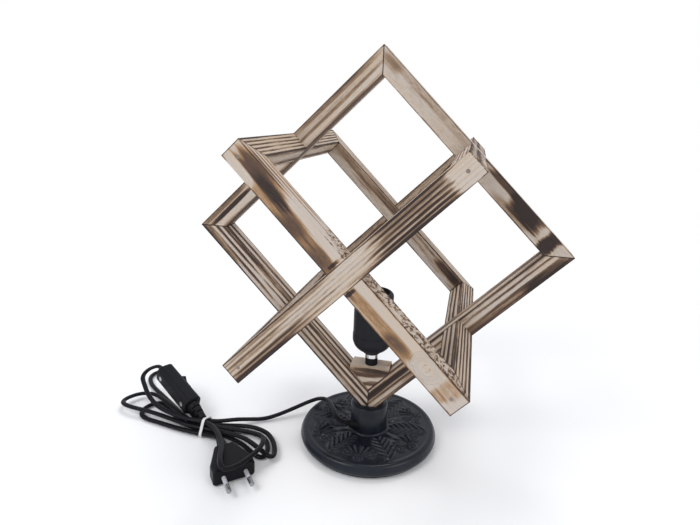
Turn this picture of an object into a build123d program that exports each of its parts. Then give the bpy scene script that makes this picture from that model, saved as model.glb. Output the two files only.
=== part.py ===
from build123d import *
import os
from math import cos, pi, radians, sin, sqrt, tan

# Table lamp, in millimetres: three interlocked square frames of scorched pine standing on
# one corner, a screw lampholder inside them, a cast dome base, and a flat twin flex with an
# in-line rocker switch and a two-pin plug, made up into a tied hank beside the base.
# Origin: centre of the base's underside, on the stem. +Z up, +X right, +Y away from the front.

# Cage
SQUARE_SIDE = 240.0
BATTEN = 18.0
LAP_PLAY = 0.1
FOOT_FLAT = 16.4
NAIL_LENGTH = 32.0
NAIL_D = 1.6
NAIL_HEAD_D = 2.8
NAIL_HEAD_T = 0.7
NAIL_PLAY = 0.05
BLOCK_HEIGHT = 21.9
BLOCK_HALF_WIDTH = 18.5

# Base casting and its pad
PAD_T = 1.5
PAD_INSET = 0.8
LIP_R = 64.5
LIP_FOOT_INSET = 3.3
LIP_FOOT_H = 0.6
LIP_MID_Z = 5.0
LIP_TOP_INSET = 0.9
LIP_TOP_Z = 9.6
LIP_TURN_IN = 1.0
LIP_TURN_H = 2.0
LIP_WALL = 4.2
BAND_INSET = 4.1
BAND_RISE = 2.9
BAND_W = 2.2
BAND_STEP_IN = 1.0
BAND_STEP_H = 0.6
DISH_MID_R = 40.0
DISH_MID_Z = 11.7
DISH_FOOT_Z = 10.2
COLUMN_R = 17.4
COLUMN_FILLET_W = 2.0
COLUMN_FILLET_H = 2.1
COLUMN_FILLET_MID = (0.6, 0.7)
COLUMN_TOP_Z = 36.0
COLUMN_BEVEL = 0.8
CAST_WALL = 4.3
CAVITY_BEVEL = 1.4
HOLLOW_R = 12.0
HOLLOW_FLARE_W = 3.0
HOLLOW_FLARE_H = 1.0
CEILING_Z = 26.0

# Stem and what is threaded on it
STEM_R = 5.0
STEM_BORE_R = 3.8
STEM_BELOW_NUT = 2.0
STEM_PLAY = 0.1
WASHER_R = 10.0
WASHER_T = 1.2
NUT_ACROSS = 14.0
NUT_T = 4.0
SLEEVE_R = 5.9
SLEEVE_H = 6.6
RING_R = 6.3
RING_H = 4.6

# Lampholder
HOLDER_R = 18.3
HOLDER_H = 60.0
HOLDER_NECK_R = 8.2
HOLDER_NECK_BEVEL = 0.8
HOLDER_NECK_H = 2.4
HOLDER_DOME_H = 14.0
DOME_MID_IN = 2.9
DOME_MID_H = 6.6
DOME_INNER_MID_IN = 2.4
DOME_INNER_MID_H = 8.8
DOME_INNER_FOOT_H = 5.0
HOLDER_SEAM_H = 19.2
HOLDER_WALL = 2.2
HOLDER_LIP = 4.6
HOLDER_LIP_MID = (0.9, 1.3)
HOLDER_RIM_W = 1.0
CAP_STEP = 0.35
CAP_THREAD_H = 8.0
SKIRT_PLAY = 0.15
SKIRT_TUCK = 4.0
SKIRT_WALL = 3.8
SKIRT_BORE_R = HOLDER_R - SKIRT_WALL
INSERT_PLAY = 0.1
INSERT_R = SKIRT_BORE_R - INSERT_PLAY
INSERT_T = 11.0
SHELL_T = 0.5
SHELL_GAP = 0.6
SHELL_R = SKIRT_BORE_R - SHELL_GAP - SHELL_T
SHELL_DEPTH = 24.0
SHELL_BELOW_RIM = 5.0
CONTACT_W = 6.0
CONTACT_T = 0.6
CONTACT_RISE = 3.2
CONTACT_WELL = 4.2
SHELL_STEP = 4.4
TERMINAL_SCREW_R = 1.5
TERMINAL_SCREW_LENGTH = 6.0
TERMINAL_HEAD_T = 1.6
TERMINAL_HEAD_R = 2.7
TERMINAL_RADIUS = 8.6
GRUB_R = 1.5
GRUB_LENGTH = 3.6
GRUB_DROP = 2.0
CLOSE_PLAY = 0.05
CORE_D = 2.0

# Flex: a flat twin flex 5 mm by 3 mm, drawn here as a round tube of like section
FLEX_D = 4.2
FLEX_PLAY = 0.1
FLEX_LEAD = 2.0
MOUTH_FLARE = 0.45
LEAST_GAP = 0.4
BUSH_BEARING = -128.0
BUSH_Z = 18.3
BUSH_DIR = (-0.93, -0.28, 0.24)
BUSH_R = 3.8
BUSH_TIP_R = 3.1
BUSH_ABOVE = 5.5
BUSH_BELOW = 6.0
BUSH_PLAY = 0.05
INNER_ROUTE = [
    (2.2, -8.8, 14.4), (6.4, -4.8, 10.4), (7.0, 0.6, 6.6), (3.8, 3.4, 6.2), (0.6, 1.4, 9.8), (0.0, 0.0, 16.0),
]

# Hank: where the tie draws the strands in, and each strand's height and place in it
TIE_X = -152.0
WAIST_RIGHT_X = -144.0
WAIST_LEFT_X = -168.0
TIE_WIDTH = 2.6
TIE_T = 0.8
TIE_PLAY = 0.4
ROW_Z = (3.4, 7.8, 12.2)
STRANDS = {
    "to_switch": (-31.0, 8.9),
    "from_switch": (-39.2, ROW_Z[2]),
    "left_long_a": (-37.0, ROW_Z[1]),
    "left_long_b": (-42.0, ROW_Z[1]),
    "under_switch_a": (-29.0, ROW_Z[0]),
    "under_switch_b": (-34.0, ROW_Z[0]),
    "low_a": (-39.0, ROW_Z[0]),
    "low_b": (-44.6, ROW_Z[0]),
}

TIE_HULL = ("under_switch_a", "to_switch", "from_switch", "left_long_b", "low_b")

# In-line switch
SWITCH_LENGTH = 58.0
SWITCH_W = 18.0
SWITCH_H = 17.0
SWITCH_ROUND = 5.5
SWITCH_WALL = 1.8
SWITCH_END_BEVEL = 1.0
SWITCH_START = (-157.0, -32.0, 10.0)
SWITCH_YAW = 29.2
SWITCH_RISE = 15.5
RELIEF_LENGTH = 20.0
RELIEF_TIP_R = 3.2
RELIEF_ROOT_R = 6.4
RELIEF_BORE = 12.0
RELIEF_SLOT_W = 1.4
RELIEF_SLOTS = (5.0, 8.0, 11.0, 14.0)
RELIEF_RIB = 0.5
RELIEF_NECK_R = 3.6
ROCKER_TILT = 11.0
ROCKER_R = 9.7
ROCKER_W = 10.0
ROCKER_PIVOT_DROP = 3.5
ROCKER_CENTRE_H = 3.9
ROCKER_SKIRT = 1.8
ROCKER_PLAY = 0.3
TRUNNION_R = 1.3
TRUNNION_LENGTH = 2.0
TRUNNION_PLAY = 0.06
TRUNNION_SPAN = ROCKER_W + 2 * TRUNNION_LENGTH
CHEEK_T = 1.6
PLUNGER_R = 1.3
PLUNGER_REACH = 6.0
BRIDGE_DROP = 6.5
BRIDGE_T = 0.8
BRIDGE_HALF = 7.0
POST_L = 3.0
TERMINAL_FOOT_H = 0.8
RIDGE_TIP_HALF = 0.6
BRIDGE_W = 3.6
CONTACT_GAP = 0.35
JOIN_SCREW_R = 1.2
JOIN_SCREW_HEAD_R = 2.3
JOIN_SCREW_LENGTH = 9.0
JOIN_SCREW_INSET = 8.0
JOIN_BOSS_R = 2.9
JOIN_HEAD_T = 1.2

# Two-pin plug
PLUG_FACE = (-94.8, -92.15)
PLUG_YAW = -48.7
PLUG_W = 35.3
PLUG_T = 13.7
PLUG_LENGTH = 36.0
PLUG_TAIL_W = 17.0
PLUG_SIDE = 12.5
PLUG_ROUND = 3.0
PLUG_CORNER = 2.5
PLUG_NECK_R = 4.0
PIN_SPACING = 18.6
PIN_R = 2.0
PIN_LENGTH = 19.0
PIN_IN = 12.0
PIN_SLEEVE_LENGTH = 10.0
PIN_SLEEVE_R = 1.75
PIN_TIP_H = 1.2
PIN_TIP_IN = 0.9
PIN_NECK_R = 1.5
PLUG_TAIL_LENGTH = 16.0
PLUG_TAIL_TIP_R = 3.1
PLUG_TAIL_ROOT_R = 5.4
PLUG_TAIL_IN = 3.0
PLUG_TAIL_BORE = 8.0

# Worked out from the sizes above
HALF = SQUARE_SIDE / 2
MID = HALF - BATTEN / 2
FRAME_Z = COLUMN_TOP_Z + HALF * sqrt(2) - FOOT_FLAT / 2
APEX_Z = FRAME_Z - (HALF - BATTEN) * sqrt(2)
BLOCK_TOP_Z = APEX_Z + BLOCK_HEIGHT
RING_Z = BLOCK_TOP_Z + SLEEVE_H
HOLDER_Z = RING_Z + RING_H
HOLDER_TOP_Z = HOLDER_Z + HOLDER_H
SEAM_Z = HOLDER_Z + HOLDER_SEAM_H
STEM_TOP_Z = HOLDER_Z + CAP_THREAD_H
SHELL_TOP_Z = HOLDER_TOP_Z - SHELL_BELOW_RIM
SHELL_FOOT_Z = SHELL_TOP_Z - SHELL_DEPTH
INSERT_Z = SHELL_FOOT_Z - INSERT_T
RIGHT_DOWN = Vector(1, 0, -1).normalized()
RIGHT_UP = Vector(1, 0, 1).normalized()
AWAY = Vector(0, 1, 0)


def outline(points):
    """Flat face inside a closed run of (x, y) points."""
    return make_face(Polyline(*points, close=True).edges())


def turned(points):
    """Solid of revolution about Z from (radius, height) points."""
    return revolve(Plane.XZ * outline(points), Axis.Z)


def ring(r_out, r_in, z0, z1):
    """Plain tube about Z."""
    return turned([(r_in, z0), (r_out, z0), (r_out, z1), (r_in, z1)])


def group(solids):
    """Separate solids that share one node."""
    return Compound(children=list(solids))


def save(node, shape):
    shape.label = node
    export_step(shape, os.path.join("parts", node + ".step"))


# Cage of battens

def batten(over):
    """One batten on the +Y side of its square, mitred, with its half lap at mid length."""
    inner = HALF - BATTEN
    body = extrude(outline([(-HALF, HALF), (HALF, HALF), (inner, inner), (-inner, inner)]),
                   amount=BATTEN / 2, both=True)
    lap_y = MID - BATTEN / 4 if over else MID + BATTEN / 4
    notch = Pos(0, lap_y, 0) * Box(BATTEN + 2 * LAP_PLAY, BATTEN / 2, 2 * BATTEN)
    return body - notch


def nail_axis(end):
    """Place of the nail through the +Y batten into its neighbour at one end."""
    return Pos(end * MID, HALF, 0) * Rot(90, 0, 0)


def nail(play=0.0):
    """Nail along +Z from its head, which is flush at z = 0."""
    shank = Cylinder(NAIL_D / 2 + play, NAIL_LENGTH, align=(Align.CENTER, Align.CENTER, Align.MIN))
    head = Cylinder(NAIL_HEAD_D / 2 + play, NAIL_HEAD_T + play,
                    align=(Align.CENTER, Align.CENTER, Align.MIN))
    return shank + head


def square_plane(x_dir, z_dir):
    return Plane(origin=(0, 0, FRAME_Z), x_dir=x_dir, z_dir=z_dir)


# Each square: its plane, the names of its sides in order, which sides lie over at their
# half lap, and which sides are the ones nailed through.
SQUARES = (
    (square_plane(RIGHT_UP, AWAY), "upright",
     ("bottom_right", "bottom_left", "top_left", "top_right"), (1, 3), (1, 3)),
    (square_plane(AWAY, RIGHT_UP), "falling",
     ("left_end", "front", "right_end", "back"), (0, 2), (1, 3)),
    (square_plane(AWAY, RIGHT_DOWN), "rising",
     ("right_end", "front", "left_end", "back"), (1, 3), (1, 3)),
)


def make_cage():
    stem_hole = Cylinder(STEM_R + STEM_PLAY, 4 * BATTEN)
    foot_cut = Pos(0, 0, COLUMN_TOP_Z - BATTEN) * Box(4 * BATTEN, 2 * BATTEN, 2 * BATTEN)
    nails = []
    for plane, square, sides, over, nailed in SQUARES:
        holes = []
        for k in nailed:
            for end in (-1, 1):
                place = plane * Rot(0, 0, 90 * k) * nail_axis(end)
                if place.position.Z < COLUMN_TOP_Z:
                    continue
                nails.append(place * nail())
                holes.append(place * nail(NAIL_PLAY))
        for k, side in enumerate(sides):
            piece = plane * Rot(0, 0, 90 * k) * batten(k in over)
            if side in ("bottom_left", "bottom_right"):
                piece = piece - foot_cut - Pos(0, 0, COLUMN_TOP_Z) * stem_hole
            for hole in holes:
                piece = piece - hole
            save(square + "_" + side, piece)
    save("frame_nails", group(nails))


def make_corner_block():
    tip_z = APEX_Z + BLOCK_HALF_WIDTH
    face = outline([(0, APEX_Z), (BLOCK_HALF_WIDTH, tip_z), (BLOCK_HALF_WIDTH, BLOCK_TOP_Z),
                    (-BLOCK_HALF_WIDTH, BLOCK_TOP_Z), (-BLOCK_HALF_WIDTH, tip_z)])
    block = extrude(Plane.XZ * face, amount=BATTEN / 2, both=True)
    save("corner_block", block - Pos(0, 0, APEX_Z) * Cylinder(STEM_R + STEM_PLAY, 4 * BATTEN))


# Base

def bush_plane():
    """Bush frame: Z out along it from its root on the column's skin."""
    bearing = radians(BUSH_BEARING)
    root = (COLUMN_R * cos(bearing), COLUMN_R * sin(bearing), BUSH_Z)
    return Plane(origin=root, z_dir=Vector(*BUSH_DIR))


def bush_point(along):
    return bush_plane().from_local_coords(Vector(0, 0, along))


def make_base():
    bore = STEM_R + STEM_PLAY
    foot_r = LIP_R - LIP_FOOT_INSET
    foot_z = PAD_T + LIP_FOOT_H
    top_r = LIP_R - LIP_TOP_INSET
    band_r = LIP_R - BAND_INSET
    band_z = LIP_TOP_Z + BAND_RISE
    dish_r = band_r - BAND_W - BAND_STEP_IN
    dish_z = band_z - BAND_STEP_H
    root_r = COLUMN_R + COLUMN_FILLET_W
    root_z = DISH_FOOT_Z + COLUMN_FILLET_H
    cavity_r = foot_r - LIP_WALL
    flare_r = HOLLOW_R + HOLLOW_FLARE_W
    flare_z = DISH_FOOT_Z - CAST_WALL
    with BuildSketch(Plane.XZ) as section:
        with BuildLine():
            Line((foot_r, PAD_T), (foot_r, foot_z))
            ThreePointArc((foot_r, foot_z), (LIP_R, LIP_MID_Z), (top_r, LIP_TOP_Z))
            ThreePointArc((top_r, LIP_TOP_Z), (top_r - LIP_TURN_IN, LIP_TOP_Z + LIP_TURN_H), (band_r, band_z))
            Polyline((band_r, band_z), (band_r - BAND_W, band_z), (dish_r, dish_z))
            ThreePointArc((dish_r, dish_z), (DISH_MID_R, DISH_MID_Z), (root_r, DISH_FOOT_Z))
            ThreePointArc((root_r, DISH_FOOT_Z),
                          (COLUMN_R + COLUMN_FILLET_MID[0], DISH_FOOT_Z + COLUMN_FILLET_MID[1]),
                          (COLUMN_R, root_z))
            Polyline((COLUMN_R, root_z), (COLUMN_R, COLUMN_TOP_Z - COLUMN_BEVEL),
                     (COLUMN_R - COLUMN_BEVEL, COLUMN_TOP_Z), (bore, COLUMN_TOP_Z), (bore, CEILING_Z),
                     (HOLLOW_R, CEILING_Z), (HOLLOW_R, flare_z + HOLLOW_FLARE_H), (flare_r, flare_z))
            ThreePointArc((flare_r, flare_z), (DISH_MID_R, DISH_MID_Z - CAST_WALL),
                          (cavity_r - CAVITY_BEVEL, dish_z - CAST_WALL))
            Polyline((cavity_r - CAVITY_BEVEL, dish_z - CAST_WALL), (cavity_r, PAD_T), (foot_r, PAD_T))
        make_face()
    casting = revolve(section.sketch, Axis.Z)
    drill = bush_plane() * Cylinder(BUSH_R + BUSH_PLAY, 5 * BUSH_ABOVE)
    save("base_casting", casting - drill)
    save("base_pad", Cylinder(foot_r - PAD_INSET, PAD_T, align=(Align.CENTER, Align.CENTER, Align.MIN)))


def make_bush():
    """Rubber bush in the column's wall, which the flex leaves by."""
    hole = FLEX_D / 2 + FLEX_PLAY
    bush = turned([(hole, -BUSH_BELOW), (BUSH_R, -BUSH_BELOW), (BUSH_R, BUSH_ABOVE / 2),
                   (BUSH_TIP_R, BUSH_ABOVE), (hole, BUSH_ABOVE)])
    save("cord_bush", bush_plane() * bush)


# Stem

def make_stem():
    washer_z = CEILING_Z - WASHER_T
    foot_z = washer_z - NUT_T - STEM_BELOW_NUT
    save("stem_tube", ring(STEM_R, STEM_BORE_R, foot_z, STEM_TOP_Z))
    bore = STEM_R + STEM_PLAY
    save("base_washer", ring(WASHER_R, bore, washer_z, CEILING_Z))
    hexagon = Pos(0, 0, washer_z - NUT_T) * RegularPolygon(NUT_ACROSS / 2, 6, major_radius=False)
    nut = extrude(hexagon, amount=NUT_T)
    save("base_nut", nut - Pos(0, 0, washer_z) * Cylinder(bore, 3 * NUT_T))
    save("spacer_sleeve", ring(SLEEVE_R, bore, BLOCK_TOP_Z, RING_Z))
    lock = turned([(bore, RING_Z), (RING_R - 0.6, RING_Z), (RING_R, RING_Z + 0.6),
                   (RING_R, HOLDER_Z - 0.6), (RING_R - 0.6, HOLDER_Z), (bore, HOLDER_Z)])
    save("lock_ring", lock)


# Lampholder

def make_holder():
    bore = STEM_R + STEM_PLAY
    r_in = HOLDER_R - HOLDER_WALL
    dome_z = HOLDER_Z + HOLDER_DOME_H
    with BuildSketch(Plane.XZ) as section:
        with BuildLine():
            Polyline((bore, HOLDER_Z), (HOLDER_NECK_R - HOLDER_NECK_BEVEL, HOLDER_Z),
                     (HOLDER_NECK_R, HOLDER_Z + HOLDER_NECK_BEVEL), (HOLDER_NECK_R, HOLDER_Z + HOLDER_NECK_H))
            ThreePointArc((HOLDER_NECK_R, HOLDER_Z + HOLDER_NECK_H),
                          (HOLDER_R - DOME_MID_IN, HOLDER_Z + DOME_MID_H), (HOLDER_R + CAP_STEP, dome_z))
            Polyline((HOLDER_R + CAP_STEP, dome_z), (HOLDER_R + CAP_STEP, SEAM_Z), (r_in, SEAM_Z),
                     (r_in, dome_z))
            ThreePointArc((r_in, dome_z), (r_in - DOME_INNER_MID_IN, HOLDER_Z + DOME_INNER_MID_H),
                          (HOLDER_NECK_R, HOLDER_Z + DOME_INNER_FOOT_H))
            Polyline((HOLDER_NECK_R, HOLDER_Z + DOME_INNER_FOOT_H), (HOLDER_NECK_R, STEM_TOP_Z),
                     (bore, STEM_TOP_Z), (bore, HOLDER_Z))
        make_face()
    cap = revolve(section.sketch, Axis.Z)
    grub_axis = Pos(bore, 0, HOLDER_Z + CAP_THREAD_H - GRUB_DROP) * Rot(0, 90, 0)
    grub_hole = Cylinder(GRUB_R + CLOSE_PLAY, GRUB_LENGTH + 8 * CLOSE_PLAY)
    save("holder_cap", cap - grub_axis * Pos(0, 0, GRUB_LENGTH / 2) * grub_hole)
    screw = Cylinder(GRUB_R, GRUB_LENGTH, align=(Align.CENTER, Align.CENTER, Align.MIN))
    save("holder_grub_screw", grub_axis * Pos(0, 0, CLOSE_PLAY) * screw)

    tuck_r = r_in - SKIRT_PLAY
    rim_r = SKIRT_BORE_R + HOLDER_RIM_W
    lip_in, lip_drop = HOLDER_LIP_MID
    with BuildSketch(Plane.XZ) as section:
        with BuildLine():
            Polyline((SKIRT_BORE_R, SEAM_Z - SKIRT_TUCK), (tuck_r, SEAM_Z - SKIRT_TUCK), (tuck_r, SEAM_Z),
                     (HOLDER_R, SEAM_Z), (HOLDER_R, HOLDER_TOP_Z - HOLDER_LIP))
            ThreePointArc((HOLDER_R, HOLDER_TOP_Z - HOLDER_LIP),
                          (HOLDER_R - lip_in, HOLDER_TOP_Z - lip_drop), (rim_r, HOLDER_TOP_Z))
            Polyline((rim_r, HOLDER_TOP_Z), (SKIRT_BORE_R, HOLDER_TOP_Z),
                     (SKIRT_BORE_R, SEAM_Z - SKIRT_TUCK))
        make_face()
    save("holder_skirt", revolve(section.sketch, Axis.Z))

    core = ring(INSERT_R, STEM_BORE_R, INSERT_Z, SHELL_FOOT_Z)
    screw_holes = []
    screws = []
    for side in (-1, 1):
        place = Pos(0, side * TERMINAL_RADIUS, INSERT_Z)
        screw_holes.append(place * Cylinder(TERMINAL_SCREW_R + CLOSE_PLAY, 2 * TERMINAL_SCREW_LENGTH))
        shank = Cylinder(TERMINAL_SCREW_R, TERMINAL_SCREW_LENGTH,
                         align=(Align.CENTER, Align.CENTER, Align.MIN))
        head = Cylinder(TERMINAL_HEAD_R, TERMINAL_HEAD_T,
                        align=(Align.CENTER, Align.CENTER, Align.MAX))
        screws.append(place * (shank + head))
    for hole in screw_holes:
        core = core - hole
    well_z = SHELL_FOOT_Z - CONTACT_WELL
    core = core - Pos(0, 0, well_z) * Cylinder(SHELL_R - SHELL_STEP, CONTACT_WELL,
                                               align=(Align.CENTER, Align.CENTER, Align.MIN))
    save("holder_insert", core)
    save("terminal_screws", group(screws))

    shell = turned([(SHELL_R - SHELL_STEP, SHELL_FOOT_Z), (SHELL_R + SHELL_T, SHELL_FOOT_Z),
                    (SHELL_R + SHELL_T, SHELL_TOP_Z), (SHELL_R, SHELL_TOP_Z),
                    (SHELL_R, SHELL_FOOT_Z + SHELL_T), (SHELL_R - SHELL_STEP, SHELL_FOOT_Z + SHELL_T)])
    save("screw_shell", shell)
    heel, toe = -CONTACT_W, CONTACT_W - 1.0
    top_z = well_z + CONTACT_RISE
    tongue = outline([(heel, well_z), (-1.0, well_z), (toe, top_z), (toe - 0.4, top_z + CONTACT_T),
                      (-1.2, well_z + CONTACT_T), (heel, well_z + CONTACT_T)])
    save("centre_contact", extrude(Plane.XZ * tongue, amount=CONTACT_W / 2, both=True))

    wires = []
    for side in (-1, 1):
        head_z = INSERT_Z - TERMINAL_HEAD_T
        low_z = STEM_TOP_Z + 1.0
        rise = head_z - low_z
        y0, y1 = side * (CORE_D / 2 + CLOSE_PLAY), side * TERMINAL_RADIUS
        run = [(0, y0, low_z), (0, y0, low_z + 0.25 * rise), (0, (y0 + y1) / 2, low_z + 0.5 * rise),
               (0, y1, low_z + 0.78 * rise), (0, y1, head_z)]
        wires.append(route_tube(run, CORE_D)[0])
    save("lamp_wires", group(wires))


# Flex

def route_tube(points, d=FLEX_D):
    """Round tube on straight runs and tangent arcs, each as large as its two runs allow."""
    pts = [Vector(*p) for p in points]
    radii = []
    for before, here, after in zip(pts, pts[1:], pts[2:]):
        turn = radians((here - before).get_angle(after - here))
        shorter = min((here - before).length, (after - here).length)
        radii.append(0.45 * shorter / tan(turn / 2))
    line = FilletPolyline(*pts, radius=radii)
    path = Wire(line.edges())
    start = Plane(origin=pts[0], z_dir=pts[1] - pts[0])
    tube = sweep(start * Circle(d / 2), path=path)
    return tube, path, radii


def report_tube(name, tube, path, radii, d=FLEX_D):
    ideal = pi * d * d / 4 * path.length
    print(name, "length", round(path.length, 1), "mm, least radius", round(min(radii), 1),
          "mm, volume over section times length", round(tube.volume / ideal, 4))
    print(name, "radii", [round(r, 1) for r in radii])


def least_self_gap(path, d=FLEX_D, step=2.0, apart=4.5):
    """Least gap between stretches of one tube that are well apart along it."""
    count = int(path.length / step)
    spots = [path.position_at(i / count) for i in range(count + 1)]
    spots = [(p.X, p.Y, p.Z) for p in spots]
    skip = int(apart * d / step)
    least = 1e9
    for i, a in enumerate(spots):
        for b in spots[i + skip:]:
            gap = (a[0] - b[0]) ** 2 + (a[1] - b[1]) ** 2 + (a[2] - b[2]) ** 2
            least = min(least, gap)
    return sqrt(least) - d


# Free stretch from the bush over the dome to the tie, points chosen by hand.
FREE_ROUTE = [
    (-24.6, -15.6, 21.5), (-29.3, -12.0, 22.1), (-33.2, -5.0, 22.2),
    (-38.0, 4.5, 21.3), (-43.5, 14.0, 19.8), (-50.0, 20.8, 18.6), (-57.5, 20.6, 17.6),
    (-65.0, 16.5, 15.6), (-73.5, 12.0, 12.3), (-84.0, 5.5, 8.5), (-95.0, -1.0, 5.0),
    (-106.0, -7.0, 3.0), (-117.0, -13.5, 5.0), (-127.0, -21.0, 7.8), (-135.5, -27.2, 8.9),
]

# Loops of the hank: the side they lie on, the strands they leave and rejoin the tie by, reach,
# half width, bearing in degrees, sideways bow, and height at each quarter of the loop.
LOOPS = (
    ("right", "from_switch", "left_long_a", 69.9, -29.6, -20.7, -28.9, (20.4, 17.4, 13.3)),
    ("left", "left_long_a", "left_long_b", 88.0, -16.4, 156.3, 9.1, (6.9, 6.5, 8.3)),
    ("right", "left_long_b", "under_switch_a", 63.9, -13.9, 12.4, -36.4, (8.9, 5.0, 4.4)),
    ("left", "under_switch_a", "under_switch_b", 121.5, -14.3, 139.7, -1.8, (2.3, 2.4, 2.3)),
    ("right", "under_switch_b", "low_a", 59.7, 13.4, 5.3, -23.5, (2.3, 2.3, 2.3)),
    ("left", "low_a", "low_b", 65.1, -13.6, 160.6, -4.5, (2.3, 2.6, 2.3)),
)
LOOP_STEPS = (0.12, 0.25, 0.35, 0.43, 0.5, 0.57, 0.65, 0.75, 0.88)
LOOP_BLUNT = 0.7
LOOP_HUG = 0.35

# From the switch's far end round to the tie, points chosen by hand.
SWITCH_RETURN = [
    (-233.3, 11.3, 32.7), (-243.4, 7.8, 29.0), (-244.9, -1.4, 24.9), (-236.7, -9.2, 21.2),
    (-225.1, -19.9, 17.2), (-208.8, -30.1, 14.1), (-190.1, -36.2, 12.9), (-176.8, -37.9, 12.4),
]


def waist_point(strand, side):
    y, z = STRANDS[strand]
    return (WAIST_RIGHT_X if side == "right" else WAIST_LEFT_X, y, z)


def loop_points(loop):
    """Points round one loop, a petal whose two ends are drawn in at the tie."""
    side, first, last, reach, half, bearing, bow, heights = loop
    x0, y0, z0 = waist_point(first, side)
    x1, y1, z1 = waist_point(last, side)
    lift = (z0,) + heights + (z1,)
    cb, sb = cos(radians(bearing)), sin(radians(bearing))
    points = []
    for t in LOOP_STEPS:
        s = sin(pi * t)
        along = reach * s ** LOOP_BLUNT
        across = half * sin(2 * pi * t) * s ** LOOP_HUG + bow * s * s
        k = min(int(t * 4), 3)
        z = lift[k] + (lift[k + 1] - lift[k]) * (t * 4 - k)
        points.append((x0 + along * cb - across * sb,
                       y0 + (y1 - y0) * t + along * sb + across * cb, z))
    return points


def switch_plane():
    """Switch frame: X along it from the tie to its far end, Z out of the rocker's face."""
    yaw, rise = radians(SWITCH_YAW), radians(SWITCH_RISE)
    along = Vector(-cos(rise) * cos(yaw), cos(rise) * sin(yaw), sin(rise))
    out = Vector(sin(yaw), cos(yaw), 0)
    return Plane(origin=SWITCH_START, x_dir=along, z_dir=out)


def switch_point(x, y=0.0, z=0.0):
    return switch_plane().from_local_coords(Vector(x, y, z))


def plug_plane():
    """Plug frame: X out along the pins from the pin face, Z up."""
    yaw = radians(PLUG_YAW)
    return Plane(origin=(*PLUG_FACE, PLUG_T / 2), x_dir=(cos(yaw), sin(yaw), 0), z_dir=(0, 0, 1))


def make_flex():
    free = [bush_point(BUSH_ABOVE), bush_point(BUSH_ABOVE + 2 * FLEX_LEAD)] + FREE_ROUTE
    free += [waist_point("to_switch", "right"), switch_point(-FLEX_LEAD), switch_point(RELIEF_BORE)]
    tube, path, radii = route_tube(free)
    report_tube("cord_to_switch", tube, path, radii)
    save("cord_to_switch", tube)

    end = RELIEF_LENGTH + SWITCH_LENGTH
    points = [switch_point(end - SWITCH_WALL), switch_point(end + 2 * FLEX_LEAD)] + SWITCH_RETURN
    for loop in LOOPS:
        side, first = loop[:2]
        back = "left" if side == "right" else "right"
        points.append(waist_point(first, back))
        points.append(waist_point(first, side))
        points.extend(loop_points(loop))
    points.append(waist_point("low_b", "left"))
    points.append(waist_point("low_b", "right"))
    tail = -PLUG_LENGTH - PLUG_TAIL_LENGTH
    for x in (tail - 2 * FLEX_LEAD, tail + PLUG_TAIL_BORE):
        points.append(plug_plane().from_local_coords(Vector(x, 0, 0)))
    tube, path, radii = route_tube(points)
    report_tube("cord_hank", tube, path, radii)
    print("cord_hank least gap to itself", round(least_self_gap(path), 2), "mm, wanted over", LEAST_GAP)
    save("cord_hank", tube)


def make_tie():
    """Band drawn round all the strands, just off their skins."""
    inner = FLEX_D / 2 + TIE_PLAY
    centres = [STRANDS[name] for name in TIE_HULL]
    hull = outline(centres)
    face = offset(hull, amount=inner + TIE_T) - offset(hull, amount=inner)
    band = extrude(Plane(origin=(TIE_X, 0, 0), x_dir=(0, 1, 0), z_dir=(1, 0, 0)) * face,
                   amount=TIE_WIDTH / 2, both=True)
    save("cord_tie", band)


# Switch

def cone_along(plane, x0, r0, x1, r1, bore_r, bore_to):
    """Tapered round relief along a frame's X axis, with a blind, bell-mouthed hole for the flex."""
    turn_x = plane * Rot(0, 90, 0)
    return turn_x * turned([(bore_r + MOUTH_FLARE, x0), (r0, x0), (r1, x1), (0, x1), (0, bore_to),
                            (bore_r, bore_to), (bore_r, x0 + 2 * FLEX_LEAD)])


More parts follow.
